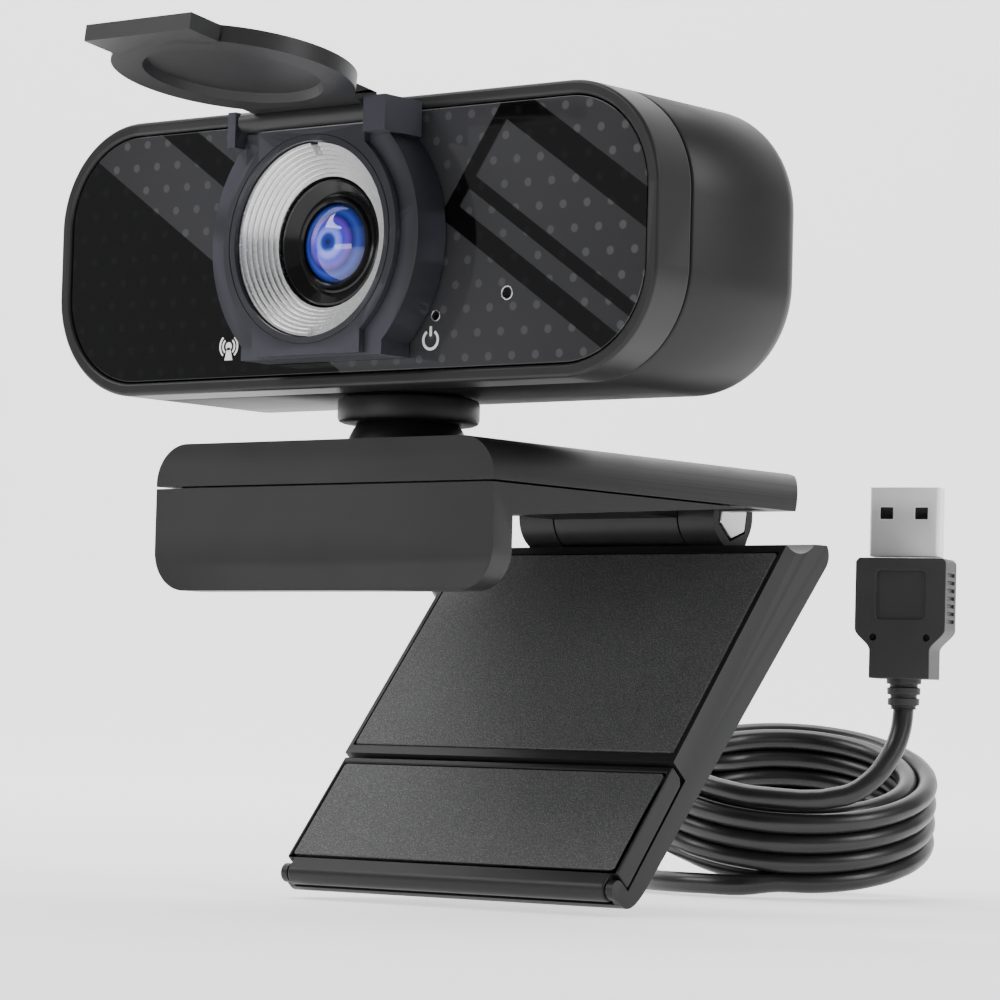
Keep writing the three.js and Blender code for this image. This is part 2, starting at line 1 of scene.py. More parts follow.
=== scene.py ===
"""Webcam on a folding screen clip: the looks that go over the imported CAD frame.

Sizes are millimetres in the design's own axes, whose zero is the centre of the head's front face.
row_point() turns them into the row frame, in metres. The lens looks along -Y and +Z is up.
"""
import json
import math

import bmesh
import bpy
from mathutils import Matrix, Vector


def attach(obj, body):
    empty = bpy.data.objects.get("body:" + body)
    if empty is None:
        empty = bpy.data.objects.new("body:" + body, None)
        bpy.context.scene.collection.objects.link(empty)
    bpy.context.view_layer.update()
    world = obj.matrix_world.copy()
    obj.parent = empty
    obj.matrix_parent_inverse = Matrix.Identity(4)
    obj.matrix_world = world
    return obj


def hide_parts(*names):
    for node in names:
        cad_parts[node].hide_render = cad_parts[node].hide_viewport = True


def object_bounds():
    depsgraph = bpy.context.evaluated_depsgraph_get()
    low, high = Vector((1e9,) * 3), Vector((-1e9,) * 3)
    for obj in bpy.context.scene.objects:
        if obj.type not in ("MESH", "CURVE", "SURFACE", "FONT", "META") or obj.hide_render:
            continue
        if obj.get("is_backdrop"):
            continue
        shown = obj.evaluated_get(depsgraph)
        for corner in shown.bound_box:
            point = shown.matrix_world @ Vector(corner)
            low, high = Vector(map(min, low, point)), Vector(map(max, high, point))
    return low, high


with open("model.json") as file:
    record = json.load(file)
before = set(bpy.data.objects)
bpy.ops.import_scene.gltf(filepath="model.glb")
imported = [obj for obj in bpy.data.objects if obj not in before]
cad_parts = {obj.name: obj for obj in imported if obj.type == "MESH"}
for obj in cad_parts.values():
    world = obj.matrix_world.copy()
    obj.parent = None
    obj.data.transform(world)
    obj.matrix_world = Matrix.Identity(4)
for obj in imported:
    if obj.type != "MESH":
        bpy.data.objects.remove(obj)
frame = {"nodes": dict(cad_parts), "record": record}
CAD_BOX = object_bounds()

MM = 0.001
ORIGIN = Vector((0, 26, -38.402))
HEAD = {"wide": 115, "tall": 42.3, "deep": 37, "corner": 16, "bezel": 8.2, "roll": 5}
OUTER_FRAME = {"half_wide": 19.8, "half_flat": 13.5, "half_tall": 17.3, "jog": 15.2}
INNER_FRAME = {"half_wide": 16.6, "half_flat": 10.3, "half_tall": 17.0, "jog": 13.6}
FRAME_FRONT = -6.3
PLATE_FRONT = -7.5
LENS_HOLE = 14.4
LENS_RADIUS = 5.9
COVER_PIN = Vector((0, -7, 18))
COVER_OPEN = math.radians(-98)
COVER_ROLL = 1.5
COVER_BORE = 1.0
NECK = {"y": 16.7, "z": -31, "ball": 9.5, "disc": 10.7, "top": -21.5, "bottom": -25.4}
CLIP = {"half_wide": 32.5, "front": -3.3, "top": -29.1, "seam": -35.5, "hook_bottom": -51.2,
        "hook_back": 1.2, "rear": 77.8, "corner": 6, "wedge_end": 60, "under_front": -40.3,
        "screw_x": 22, "screw_y": 12}
REAR_SCOOP = {"y": 81, "z": -37.3, "radius": 8.4}
BARREL = {"y": 74.6, "z": -35.8, "radius": 5.4, "middle": 12.2, "end": 19.4, "bore": 1.9}
NUT = {"radius": 3.9, "pocket": 4.3, "sunk": 2.5, "proud": 0.2}
LEG_TOP = Vector((0, 71.3, -40.4))
LEG_ANGLE = math.radians(49.8)
FOOT_PIN = {"v": -2.15, "u": 68.2, "bore": 1.0, "lug": 1.5, "inner": 31}
LEG = {"half_wide": 32.2, "upper": 45.2, "long": 69.3, "thick_top": 10.5, "thick_low": 7.5, "ledge": -4.2}
PAD = {"wide": 62.4, "pocket_half": 31.5}
CORD_RADIUS = 1.75
CORD_ON_FLOOR = -95.6
COIL = {"centre": Vector((-8, 133, -82.4)), "radius": 21.75, "tilt": math.radians(19),
        "tilt_axis": Vector((0.786, 0.618, 0)), "start": 300, "tie_angle": math.radians(222)}
PLUG = {"x": 18, "y": 128, "relief": -65.4, "narrow": -60.3, "wide": -55.6, "face": -40, "tip": -28,
        "turn": math.radians(18)}
LED_HOLE = {"x": 18.0, "z": -11.3, "radius": 0.7}
MIC_HOLE = {"x": 31.0, "z": -8.6, "radius": 0.9}
PANEL = {"front": 0.4, "back": 2.4, "inset": 4.4}
GAP = 0.3


def row_point(point):
    """A design point, in millimetres, as a row frame point in metres."""
    return (Vector(point) - ORIGIN) * MM


# ---------------------------------------------------------------- camera, floor and light
def make_camera():
    """A long lens to the right of the head and a little below it, looking slightly up."""
    camera = bpy.data.objects.new("camera", bpy.data.cameras.new("camera"))
    camera.data.sensor_width = 36
    camera.data.lens = 144.18
    camera.data.clip_end = 10
    right = Vector((0.78627, 0.61733, 0.02637))
    up = Vector((0.01558, -0.06247, 0.99793))
    ahead = Vector((-0.61769, 0.78422, 0.05873))
    turn = Matrix((right, up, -ahead)).transposed()
    camera.matrix_world = Matrix.Translation(row_point((382.37, -446.04, -71.65))) @ turn.to_4x4()
    bpy.context.scene.collection.objects.link(camera)
    bpy.context.scene.camera = camera


def area_light(name, place, target, size, power):
    """A rectangular light in the row frame, aimed at a point."""
    data = bpy.data.lights.new(name, "AREA")
    data.shape = "RECTANGLE"
    data.size, data.size_y = size
    data.energy = power
    light = bpy.data.objects.new(name, data)
    aim = Vector(target) - Vector(place)
    light.location = place
    light.rotation_euler = aim.to_track_quat("-Z", "Y").to_euler()
    bpy.context.scene.collection.objects.link(light)


def make_floor():
    """A pale floor that curves up into a pale wall behind the object."""
    floor_z = CAD_BOX[0][2] - 0.0004
    front, back, bend, wall_top = -2.5, 1.4, 0.6, 3
    profile = [(front, 0), (back, 0)]
    for i in range(1, 13):
        angle = math.pi / 2 * i / 12
        profile.append((back + bend * math.sin(angle), bend * (1 - math.cos(angle))))
    profile.append((back + bend, wall_top))
    away = Vector((-0.61769, 0.78422, 0)).normalized()
    across = Vector((away.y, -away.x, 0))
    verts = []
    for reach, height in profile:
        for side in (-4, 4):
            verts.append(away * reach + across * side + Vector((0, 0, floor_z + height)))
    faces = [(2 * i, 2 * i + 1, 2 * i + 3, 2 * i + 2) for i in range(len(profile) - 1)]
    mesh = bpy.data.meshes.new("floor")
    mesh.from_pydata(verts, [], faces)
    mesh.polygons.foreach_set("use_smooth", [True] * len(faces))
    floor = bpy.data.objects.new("floor", mesh)
    bpy.context.scene.collection.objects.link(floor)
    floor.data.materials.append(plain_floor())
    floor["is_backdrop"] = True


def make_lights():
    """Soft lights round the object and an even, nearly white surrounding."""
    middle = (0, 0.02, 0)
    area_light("key", (-0.55, -0.75, 0.75), middle, (0.7, 0.5), 8)
    area_light("side", (0.85, 0.15, 0.45), middle, (0.25, 0.5), 3.5)
    area_light("low_fill", (-0.15, -0.9, 0.02), middle, (0.5, 0.12), 1.0)
    area_light("backdrop", (-0.6, 0.5, 1.4), (-0.9, 1.4, 0.3), (1.6, 1.2), 34)
    world = bpy.data.worlds.new("studio")
    world.use_nodes = True
    background = world.node_tree.nodes["Background"]
    background.inputs["Color"].default_value = (0.97, 0.98, 1, 1)
    background.inputs["Strength"].default_value = 0.36
    bpy.context.scene.world = world


# ---------------------------------------------------------------- shader helpers
class Shader:
    """A material and short ways to add and join its nodes."""

    def __init__(self, name):
        self.material = bpy.data.materials.new(name)
        self.material.use_nodes = True
        self.tree = self.material.node_tree
        self.surface = self.tree.nodes["Principled BSDF"]

    def node(self, kind, settings=None, **inputs):
        """A new node with these settings, and values or sockets on the inputs named."""
        made = self.tree.nodes.new(kind)
        for key, value in (settings or {}).items():
            setattr(made, key, value)
        for key, value in inputs.items():
            self.feed(made, key.replace("_", " ").title(), value)
        return made

    def feed(self, node, socket, value):
        """Puts a number on a socket, or links another node's output to it."""
        target = node.inputs[socket]
        if isinstance(value, bpy.types.NodeSocket):
            self.tree.links.new(value, target)
        else:
            target.default_value = value

    def place(self):
        """The point on the surface, in metres, fixed to the piece."""
        return self.tree.nodes.new("ShaderNodeTexCoord").outputs["Object"]

    def front_point(self):
        """X and Z of the point in millimetres from the centre of the head's front face."""
        x, _, z = self.node("ShaderNodeSeparateXYZ", None, vector=self.place()).outputs
        return self.math("MULTIPLY", x, 1000), self.math("MULTIPLY_ADD", z, 1000, ORIGIN.z)

    def math(self, operation, *values, clamp=False):
        made = self.node("ShaderNodeMath", {"operation": operation, "use_clamp": clamp})
        for i, value in enumerate(values):
            self.feed(made, i, value)
        return made.outputs[0]

    def vector(self, operation, *values):
        made = self.node("ShaderNodeVectorMath", {"operation": operation})
        for i, value in enumerate(values):
            self.feed(made, i, value)
        return made.outputs["Value" if operation in ("LENGTH", "DOT_PRODUCT") else "Vector"]

    def pair(self, x, y):
        """A vector from two numbers."""
        return self.node("ShaderNodeCombineXYZ", None, x=x, y=y).outputs[0]

    def noise(self, size_mm, detail=2.0):
        made = self.node("ShaderNodeTexNoise", None, vector=self.place(), scale=1000 / size_mm, detail=detail)
        return made.outputs["Fac"]

    def step(self, value, edge, soft):
        """0 below the edge and 1 above it, with a soft change between."""
        made = self.node("ShaderNodeMapRange", {"interpolation_type": "SMOOTHSTEP"})
        for socket, number in (("From Min", edge - soft), ("From Max", edge + soft)):
            self.feed(made, socket, number)
        self.feed(made, "Value", value)
        return made.outputs["Result"]

    def between(self, value, low, high):
        made = self.node("ShaderNodeMapRange")
        self.feed(made, "Value", value)
        self.feed(made, "To Min", low)
        self.feed(made, "To Max", high)
        return made.outputs["Result"]

    def mix(self, share, first, second):
        made = self.node("ShaderNodeMix", {"data_type": "RGBA"})
        self.feed(made, 0, share)
        self.feed(made, 6, first)
        self.feed(made, 7, second)
        return made.outputs[2]

    def bump(self, height, depth_mm, strength=1.0):
        made = self.node("ShaderNodeBump", None, height=height, strength=strength, distance=depth_mm * MM)
        self.feed(self.surface, "Normal", made.outputs["Normal"])


def grey(value, blue=1.0):
    """A grey colour, with its blue share scaled."""
    return (value, value, value * blue, 1)


# ---------------------------------------------------------------- materials
def plain_floor():
    """Matt paper that glows a little, so that it stays pale."""
    shader = Shader("floor_paper")
    tone = shader.mix(shader.noise(30), grey(0.86), grey(0.89))
    shader.feed(shader.surface, "Base Color", tone)
    shader.feed(shader.surface, "Roughness", 0.9)
    shader.feed(shader.surface, "Specular IOR Level", 0.1)
    shader.feed(shader.surface, "Emission Color", (1, 1, 1, 1))
    shader.feed(shader.surface, "Emission Strength", 0.85)
    return shader.material


def moulded_plastic(name, dark, light, roughness, grain_mm=0.25, depth_mm=0.02, edge_highlight_share=0.5):
    """Spark-eroded plastic: a fine grain, faint clouding, and a painted highlight that makes the convex edges
    a little lighter.
    """
    shader = Shader(name)
    clouds = shader.noise(9, 3.0)
    base = shader.mix(clouds, dark, light)
    # painted highlight: edges found by pointiness are painted lighter
    pointiness = shader.node("ShaderNodeNewGeometry").outputs["Pointiness"]
    edge_highlight = shader.math("MULTIPLY", shader.step(pointiness, 0.56, 0.04), edge_highlight_share)
    highlighted = shader.mix(edge_highlight, base, tuple(min(1, c * 2.4) for c in light[:3]) + (1,))
    shader.feed(shader.surface, "Base Color", highlighted)
    grain = shader.noise(grain_mm, 2.0)
    shader.feed(shader.surface, "Roughness", shader.between(clouds, roughness - 0.05, roughness + 0.06))
    shader.feed(shader.surface, "Specular IOR Level", 0.3)
    shader.bump(grain, depth_mm, 0.6)
    return shader.material


def grip_pad():
    """Rubber with a coarse grain and light flecks."""
    shader = Shader("grip_rubber")
    fine = shader.noise(0.2, 3.0)
    base = shader.mix(shader.noise(6, 2.0), grey(0.034, 1.02), grey(0.05, 1.02))
    speckled = shader.mix(shader.step(fine, 0.56, 0.1), base, grey(0.11, 1.02))
    shader.feed(shader.surface, "Base Color", speckled)
    shader.feed(shader.surface, "Roughness", shader.between(fine, 0.8, 0.5))
    shader.feed(shader.surface, "Specular IOR Level", 0.5)
    shader.bump(fine, 0.16, 0.9)
    return shader.material


def band(shader, value, low, high, soft=0.12):
    """1 between the two edges and 0 outside them."""
    above = shader.step(value, low, soft)
    below = shader.math("SUBTRACT", 1, shader.step(value, high, soft))
    return shader.math("MULTIPLY", above, below)


def panel_print():
    """Clear glossy sheet printed underneath with slanted dark and grey bands and a grid of dots."""
    shader = Shader("panel_print")
    x, z = shader.front_point()
    sine, cosine = 0.562, 0.827
    along = shader.math("SUBTRACT", shader.math("MULTIPLY", x, cosine), shader.math("MULTIPLY", z, sine))
    across = shader.math("ADD", shader.math("MULTIPLY", x, sine), shader.math("MULTIPLY", z, cosine))

    right_dark = shader.math("MULTIPLY", shader.step(along, 13.4, 0.12), band(shader, across, 12.75, 35.3))
    past_ends = shader.step(along, 15.7, 0.25)
    for low, high in ((21.0, 30.5), (15.9, 18.9)):
        window = shader.math("MULTIPLY", past_ends, band(shader, across, low, high))
        right_dark = shader.math("SUBTRACT", right_dark, window, clamp=True)
    right_light = shader.math("SUBTRACT", 1, right_dark)
    left_light = shader.math("ADD", band(shader, across, -15.4, -5.2), band(shader, across, -1.05, 4.3))
    on_right = shader.step(x, 0, 0.1)
    light = shader.mix(on_right, left_light, right_light)

    pitch = Vector((4.25, 7.05, 0))
    first = Vector((27.9, 10.6, 0))
    spot = shader.pair(x, z)
    nearest = []
    for shift in (first, first + pitch / 2):
        local = shader.vector("WRAP", shader.vector("SUBTRACT", spot, shift), pitch / 2, -pitch / 2)
        nearest.append(shader.vector("LENGTH", local))
    dot = shader.math("SUBTRACT", 1, shader.step(shader.math("MINIMUM", *nearest), 0.62, 0.12))

    fade = shader.step(shader.math("ABSOLUTE", x), 38, 26)
    light_tone = shader.mix(fade, grey(0.036, 1.1), grey(0.022, 1.04))
    ground = shader.mix(light, grey(0.0015, 1.1), light_tone)
    dots = shader.mix(light, grey(0.004, 1.1), grey(0.057, 1.05))
    shader.feed(shader.surface, "Base Color", shader.mix(dot, ground, dots))
    shader.feed(shader.surface, "Roughness", shader.between(shader.noise(14, 3.0), 0.07, 0.12))
    shader.feed(shader.surface, "Specular IOR Level", 0.3)
    shader.feed(shader.surface, "Coat Weight", 0.3)
    shader.feed(shader.surface, "Coat Roughness", 0.04)
    return shader.material


def turned_metal(name, tone, roughness, groove_mm):
    """Metal with fine marks and small changes of shine."""
    shader = Shader(name)
    marks = shader.noise(groove_mm, 3.0)
    shader.feed(shader.surface, "Base Color", shader.mix(shader.noise(4), grey(tone), grey(tone * 1.12)))
    shader.feed(shader.surface, "Metallic", 1.0)
    shader.feed(shader.surface, "Roughness", shader.between(marks, roughness - 0.06, roughness + 0.08))
    shader.bump(marks, 0.002, 0.25)
    return shader.material


def glass_with_painted_reflections():
    """Lens glass: near-black at the rim, with painted reflections of the inner lens elements and a painted
    highlight in violet and blue towards the middle.
    """
    shader = Shader("glass_with_painted_reflections")
    radius = shader.vector("LENGTH", shader.pair(*shader.front_point()))
    ramp = shader.node("ShaderNodeValToRGB", None, fac=shader.math("DIVIDE", radius, LENS_RADIUS))
    # painted reflections of the inner lens elements, with a pale painted highlight ring near 0.28
    stops = [(0.0, (0.002, 0.004, 0.03)), (0.2, (0.02, 0.06, 0.35)), (0.28, (0.35, 0.5, 0.95)),
             (0.36, (0.45, 0.35, 0.9)), (0.46, (0.03, 0.08, 0.6)), (0.58, (0.22, 0.06, 0.5)),
             (0.7, (0.01, 0.02, 0.16)), (0.82, (0.06, 0.12, 0.45)), (1.0, (0.003, 0.004, 0.012))]
    while len(ramp.color_ramp.elements) < len(stops):
        ramp.color_ramp.elements.new(0.5)
    for element, (place, colour) in zip(ramp.color_ramp.elements, stops):
        element.position = place
        element.color = (*colour, 1)
    shader.feed(shader.surface, "Base Color", ramp.outputs["Color"])
    shader.feed(shader.surface, "Roughness", shader.between(shader.noise(3), 0.02, 0.05))
    shader.feed(shader.surface, "Coat Weight", 1.0)
    shader.feed(shader.surface, "Coat Tint", (0.55, 0.6, 1, 1))
    return shader.material


def cable_jacket():
    """Soft, slightly shiny black sheath."""
    shader = Shader("cable_jacket")
    shader.feed(shader.surface, "Base Color", shader.mix(shader.noise(5, 3.0), grey(0.008), grey(0.014)))
    shader.feed(shader.surface, "Roughness", shader.between(shader.noise(2.5, 3.0), 0.26, 0.38))
    shader.bump(shader.noise(0.5, 2.0), 0.02, 0.3)
    return shader.material


def printed_white():
    """Matt white ink."""
    shader = Shader("printed_white")
    shader.feed(shader.surface, "Base Color", shader.mix(shader.noise(0.6), grey(0.72), grey(0.85)))
    shader.feed(shader.surface, "Roughness", 0.5)
    return shader.material


def solder_mask():
    """Green board lacquer, lighter over its copper."""
    shader = Shader("solder_mask")
    tracks = shader.step(shader.noise(1.6, 3.0), 0.56, 0.03)
    tone = shader.mix(tracks, (0.01, 0.1, 0.04, 1), (0.02, 0.2, 0.08, 1))
    shader.feed(shader.surface, "Base Color", tone)
    shader.feed(shader.surface, "Roughness", 0.35)
    return shader.material


MATERIALS = {
    "casing": moulded_plastic("charcoal_casing", grey(0.0085, 1.02), grey(0.0115, 1.02), 0.4),
    "cover": moulded_plastic("cover_plastic", grey(0.008, 1.05), grey(0.011, 1.05), 0.4),
    "gloss": moulded_plastic("black_gloss", grey(0.004), grey(0.007), 0.16, 0.6, 0.004, 0.1),
    "frame": moulded_plastic("slate_frame", grey(0.019, 1.25), grey(0.025, 1.25), 0.34, 0.3, 0.01),
    "silver": turned_metal("turned_silver", 0.82, 0.24, 0.35),
    "glass": glass_with_painted_reflections(),
    "pad": grip_pad(),
    "steel": turned_metal("bright_steel", 0.9, 0.38, 0.12),
    "board": solder_mask(),
    "cord": cable_jacket(),
    "plug": moulded_plastic("plug_plastic", grey(0.021), grey(0.028), 0.45, 0.3, 0.02),
    "panel": panel_print(),
    "print": printed_white(),
}


# ---------------------------------------------------------------- mesh helpers
PLACE = {
    "x": lambda a, b, c: (c, a, b),
    "y": lambda a, b, c: (a, c, b),
    "z": lambda a, b, c: (a, b, c),
}


def solid(name, verts, faces, space=None):
    """A closed mesh from design points, in a space of its own if one is given."""
    move = space or Matrix.Identity(4)
    mesh = bpy.data.meshes.new(name)
    mesh.from_pydata([row_point(move @ Vector(v)) for v in verts], [], faces)
    work = bmesh.new()
    work.from_mesh(mesh)
    bmesh.ops.remove_doubles(work, verts=work.verts, dist=1e-7)
    bmesh.ops.recalc_face_normals(work, faces=work.faces)
    work.to_mesh(mesh)
    work.free()
    obj = bpy.data.objects.new(name, mesh)
    bpy.context.scene.collection.objects.link(obj)
    return obj


def loft(rings, name="loft", space=None):
    """Joins closed rings of equally many points, and closes both ends."""
    count = len(rings[0])
    verts = [point for ring in rings for point in ring]
    faces = [tuple(range(count)), tuple(range(len(verts) - count, len(verts)))]
    for r in range(len(rings) - 1):
        for i in range(count):
            j = (i + 1) % count
            low = r * count
            faces.append((low + i, low + j, low + count + j, low + count + i))
    return solid(name, verts, faces, space)


def prism(outline, low, high, axis="y", space=None):
    """An outline across an axis, drawn out between two levels on it."""
    place = PLACE[axis]
    return loft([[place(a, b, level) for a, b in outline] for level in (low, high)], "prism", space)


def box(low, high, space=None):
    """A block between two opposite corners."""
    outline = [(low[0], low[2]), (high[0], low[2]), (high[0], high[2]), (low[0], high[2])]
    return prism(outline, low[1], high[1], "y", space)


def circle(radius, a=0, b=0, sides=64):
    step = 2 * math.pi / sides
    return [(a + radius * math.cos(i * step), b + radius * math.sin(i * step)) for i in range(sides)]


def rod(radius, low, high, a, b, axis, space=None, sides=64):
    """A round bar between two levels on an axis, through (a, b) across it."""
    return prism(circle(radius, a, b, sides), low, high, axis, space)


def turned(profile, a, b, axis, space=None, steps=96, name="turned"):
    """Turns a closed profile of (radius, height) about an axis through (a, b)."""
    place = PLACE[axis]
    verts = []
    for i in range(steps):
        angle = 2 * math.pi * i / steps
        for radius, height in profile:
            verts.append(place(a + radius * math.cos(angle), b + radius * math.sin(angle), height))
    count = len(profile)
    faces = []
    for i in range(steps):
        near = i * count
        far = (i + 1) % steps * count
        for k in range(count):
            m = (k + 1) % count
            faces.append((near + k, near + m, far + m, far + k))
    return solid(name, verts, faces, space)


def rounded_rect(wide, tall, radius, a=0, b=0, steps=16):
    outline = []
    for quarter, (sa, sb) in enumerate(((1, -1), (1, 1), (-1, 1), (-1, -1))):
        for i in range(steps + 1):
            angle = math.pi / 2 * (quarter - 1 + i / steps)
            outline.append((a + sa * (wide / 2 - radius) + radius * math.cos(angle),
                            b + sb * (tall / 2 - radius) + radius * math.sin(angle)))
    return outline


def bowed(half_wide, half_flat, half_tall, jog, steps=24):
    """Flat top and bottom, short upright corners and two bowed sides."""
    bow = half_wide - half_flat
    radius = (jog * jog + bow * bow) / (2 * bow)
    spread = math.asin(jog / radius)
    outline = []
    for side in (1, -1):
        outline.append((side * half_flat, -side * half_tall))
        for i in range(steps + 1):
            angle = spread * (2 * i / steps - 1)
            outline.append((side * (half_wide - radius + radius * math.cos(angle)),
                            side * radius * math.sin(angle)))
        outline.append((side * half_flat, side * half_tall))
    return outline


def combine(base, operation, others):
    """Carries out a boolean and keeps its result as the base's mesh."""
    for other in others:
        change = base.modifiers.new("boolean", "BOOLEAN")
        change.operation = operation
        change.object = other
        change.solver = "EXACT"
        graph = bpy.context.evaluated_depsgraph_get()
        mesh = bpy.data.meshes.new_from_object(base.evaluated_get(graph))
        base.modifiers.clear()
        base.data = mesh
        bpy.data.objects.remove(other)
    return base


def cut(base, *tools):
    return combine(base, "DIFFERENCE", tools)


def join(base, *others):
    return combine(base, "UNION", others)


def keep(base, *others):
    return combine(base, "INTERSECT", others)


def piece(obj, name, body, nodes, material, edge=0.3, limit=32):
    """Rounds the edges of a new piece, gives it its finish, and puts it on its body."""
    obj.name = name
    obj.data.name = name
    obj.data.materials.clear()
    obj.data.materials.append(MATERIALS[material])
    obj.data.polygons.foreach_set("use_smooth", [True] * len(obj.data.polygons))
    obj.data.set_sharp_from_angle(angle=math.radians(limit))
    if edge:
        bevel = obj.modifiers.new("rounding", "BEVEL")
        bevel.width = edge * MM
        bevel.segments = 3
        bevel.limit_method = "ANGLE"
        bevel.angle_limit = math.radians(limit)
        bevel.harden_normals = True
    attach(obj, body)
    if nodes:
        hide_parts(*nodes)
    return obj


# ---------------------------------------------------------------- the lead
RUN_TO_COIL = [
    (-40, 60, -32.6), (-42.7, 60, -32.6), (-44.4, 60.2, -32.7), (-46.8, 61.7, -33.4), (-48.5, 64.6, -34.6),
    (-49, 69, -36.8), (-48.6, 76, -40.6), (-47.6, 84, -46.5), (-47, 91, -56), (-47.8, 94.5, -67),
    (-47.8, 100, -77), (-47.8, 106.5, -86.5), (-47.8, 114, -93.2), (-47.4, 121.5, CORD_ON_FLOOR),
    (-46, 128, CORD_ON_FLOOR), (-42.6, 132.4, CORD_ON_FLOOR), (-38, 132.6, CORD_ON_FLOOR),
    (-35, 129.4, CORD_ON_FLOOR)]
RUN_TO_PLUG = [
    (12.6, 118.6, -80.2), (15.6, 121.6, -77.8), (17.2, 124.8, -74), (17.9, 127, -70), (18, 128, -65.8),
    (18, 128, -63)]
EXIT = (-42.3, 60, -32.6)


def coil_space():
    """Maps the coil's own axes, whose Z is its centre line, to the design."""
    tilt = Matrix.Rotation(COIL["tilt"], 4, COIL["tilt_axis"])
    return Matrix.Translation(COIL["centre"]) @ tilt


def ease(angle, start, end):
    """Rises smoothly from 0 at one angle to 1 at another."""
    share = min(max((angle - start) / (end - start), 0), 1)
    return (1 - math.cos(math.pi * share)) / 2


def coil_points():
    """Eight turns, two side by side in each of four layers, and one turn over them to the plug.

    Each turn the cord keeps its place, then climbs a layer or moves sideways by a diameter,
    always over the same part of the circle, so that the turns stay beside each other."""
    pitch = 2 * CORD_RADIUS
    places = [(0.5, -1.5), (-0.5, -1.5), (-0.5, -0.5), (0.5, -0.5), (0.5, 0.5), (-0.5, 0.5), (-0.5, 1.5),
              (0.5, 1.5), (0, 2.55)]
    start, leave, stride = COIL["start"], 3196, 14
    points = []
    for angle in range(start, leave - stride, stride):
        lane, layer = places[0]
        for turn in range(1, len(places)):
            (lane_0, layer_0), (lane_1, layer_1) = places[turn - 1], places[turn]
            layer += (layer_1 - layer_0) * ease(angle, 360 * turn + 155, 360 * turn + 205)
            lane += (lane_1 - lane_0) * ease(angle, 360 * turn + 205, 360 * turn + 255)
        radius = COIL["radius"] + pitch * lane
        around = math.radians(angle)
        points.append(coil_space() @ Vector((radius * math.cos(around), radius * math.sin(around),
                                             pitch * layer)))
    return points


def lead_in_points():
    """From the end of the run, over the floor below the coil's front, into its lowest outer turn."""
    first_angle, first_radius, last_radius = 187.6, 27.2, 22.2
    points = []
    for i in range(1, 7):
        share = i / 7
        angle = math.radians(first_angle + (COIL["start"] - first_angle) * share)
        radius = first_radius + (last_radius - first_radius) * share
        points.append(Vector((COIL["centre"].x + radius * math.cos(angle),
                              COIL["centre"].y + radius * math.sin(angle), CORD_ON_FLOOR)))
    return points


def make_lead():
    """One smooth tube along the whole route."""
    route = [Vector(p) for p in RUN_TO_COIL] + lead_in_points() + coil_points()
    route += [Vector(p) for p in RUN_TO_PLUG]
    curve = bpy.data.curves.new("lead", "CURVE")
    curve.dimensions = "3D"
    curve.bevel_depth = CORD_RADIUS * MM
    curve.bevel_resolution = 6
    curve.resolution_u = 4
    curve.use_fill_caps = True
    spline = curve.splines.new("BEZIER")
    spline.bezier_points.add(len(route) - 1)
    for knot, point in zip(spline.bezier_points, route):
        knot.co = row_point(point)
        knot.handle_left_type = "AUTO"
        knot.handle_right_type = "AUTO"
    lead = bpy.data.objects.new("lead", curve)
    bpy.context.scene.collection.objects.link(lead)
    curve.materials.append(MATERIALS["cord"])
    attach(lead, "clip")
    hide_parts("lead_run", "lead_coil", "lead_rise")
    return lead


def make_relief(name, node, profile, a, b, axis, space=None):
    """A tapered boot with rings moulded round it."""
    return piece(turned(profile, a, b, axis, space, 48), name, "clip", [node], "plug", 0.12, 50)


def ringed(base, tip, start, end, rings):
    """Profile of a cone from radius base to radius tip, with grooves cut round it."""
    profile = [(0, start)]
    span = (end - start) / rings
    for i in range(rings):
        low = start + span * i
        radius = base + (tip - base) * i / rings
        after = base + (tip - base) * (i + 1) / rings
        profile += [(radius, low), (after + 0.1, low + span * 0.62), (after - 0.45, low + span * 0.66),
                    (after - 0.45, low + span * 0.96)]
    profile += [(tip, end), (0, end)]
    return profile


def make_plug():
    """Overmold with a bare recessed panel, two dimples and ribbed sides, and the metal shell."""
    x, y = PLUG["x"], PLUG["y"]
    space = Matrix.Translation((x, y, 0)) @ Matrix.Rotation(PLUG["turn"], 4, "Z")
    right = [(5.2, PLUG["narrow"])]
    for i in range(13):
        share = i / 12
        right.append((5.2 + 2.6 * (3 - 2 * share) * share ** 2, PLUG["wide"] + 3.6 * share))
    right += [(7.8, PLUG["face"] - 0.6), (7.2, PLUG["face"])]
    body = prism(right + [(-a, b) for a, b in reversed(right)], -3.8, 3.8, "y", space)
    for side in (-1, 1):
        recess = rounded_rect(8.6, 8.4, 0.8, 0, -46.2, 5)
        cut(body, prism(recess, side * 3.4, side * 5, "y", space))
        for dx in (-4.6, 4.6):
            cut(body, rod(0.6, side * 2.2, side * 5, dx, -53.4, "y", space, 20))
        for i in range(7):
            level = -50.8 + i * 1.3
            low, high = sorted((side * 7.4, side * 9))
            cut(body, box((low, -2.4, level), (high, 2.4, level + 0.55), space))
    overmold = piece(body, "plug_body", "clip", ["plug_overmold"], "plug", 0.45)

    shell = prism(rounded_rect(12, 4.5, 0.5, 0, 0, 4), PLUG["face"] + GAP, PLUG["tip"], "z", space)
    hollow = prism(rounded_rect(11.4, 3.9, 0.3, 0, 0, 4), PLUG["face"] + 0.8, PLUG["tip"] + 1, "z", space)
    cut(shell, hollow)
    for dx in (-3, 3):
        cut(shell, box((dx - 1.1, -3, -33.4), (dx + 1.1, 3, -31.4), space))
    cut(shell, box((-0.15, 1.6, PLUG["face"]), (0.15, 3, PLUG["tip"] + 1), space))
    shell = piece(shell, "plug_sleeve", "clip", ["plug_shell"], "steel", edge=0.08)

    boot = make_relief("plug_boot", "plug_strain_relief",
                       ringed(2.95, 2.55, PLUG["narrow"] + 0.3, PLUG["relief"], 3), x, y, "z")
    return [overmold, shell, boot, frame["nodes"]["plug_tongue"]]


